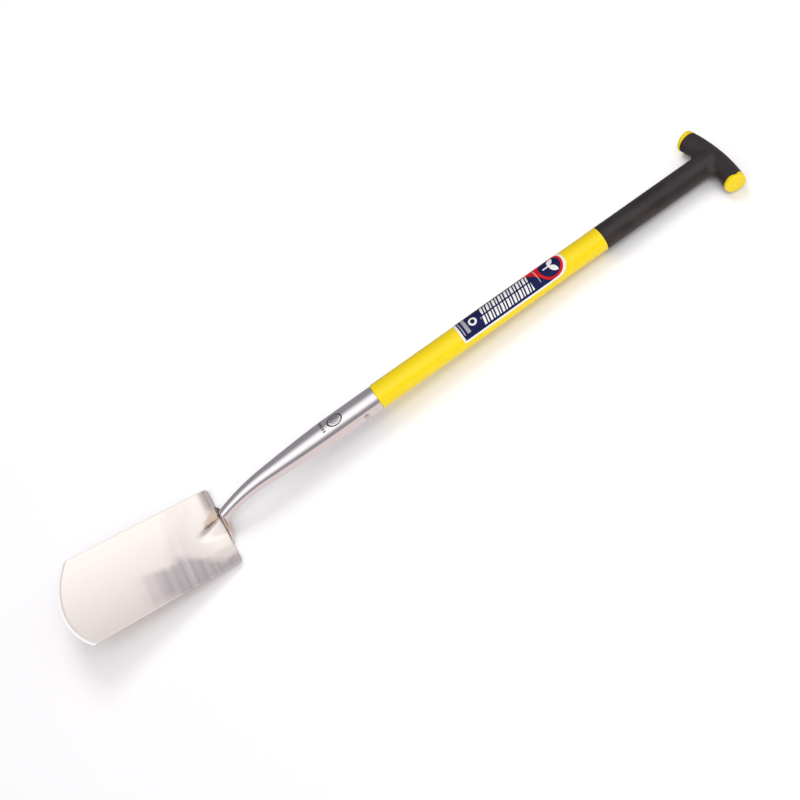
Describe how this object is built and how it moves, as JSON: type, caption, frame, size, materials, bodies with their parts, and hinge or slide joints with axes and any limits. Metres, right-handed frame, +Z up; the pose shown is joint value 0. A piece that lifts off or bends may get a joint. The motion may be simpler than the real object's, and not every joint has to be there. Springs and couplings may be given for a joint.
{
  "type": "garden spade",
  "caption": "Garden spade with a dished stainless blade, a swan-neck socket, a yellow jacketed shaft and a black soft-grip T-handle with yellow end caps.",
  "frame": {"origin": "under the middle of the spade, on the ground it lies on", "axes": "+X along the length from the blade's tip to the T-handle, +Y across to the left end of the T-bar, +Z up from the ground; the soil side of the blade faces up"},
  "size_m": [1.15, 0.1486, 0.0668],
  "materials": {
    "brushed_stainless": "satin, worn bright at the cutting edge",
    "polished_stainless": "polished along the neck",
    "heat_tinted_weld": "straw and brown heat tint",
    "rivet_steel": "satin",
    "yellow_plastic": "semi-gloss",
    "glass_fibre_tube": "pultruded",
    "grey_plug_plastic": "moulded",
    "black_rubber": "soft matt",
    "printed_label": "printed film"
  },
  "bodies": {
    "root": {"blade": "brushed_stainless", "neck_socket": "polished_stainless", "neck_weld": "heat_tinted_weld", "socket_rivet": "rivet_steel", "shaft_jacket": "yellow_plastic", "shaft_core": "glass_fibre_tube", "core_plug_lower": "grey_plug_plastic", "core_plug_upper": "grey_plug_plastic", "label": "printed_label", "handle_core": "yellow_plastic", "handle_grip": "black_rubber", "handle_pin": "rivet_steel", "end_cap_left": "yellow_plastic", "end_cap_right": "yellow_plastic"}
  },
  "joints": []
}
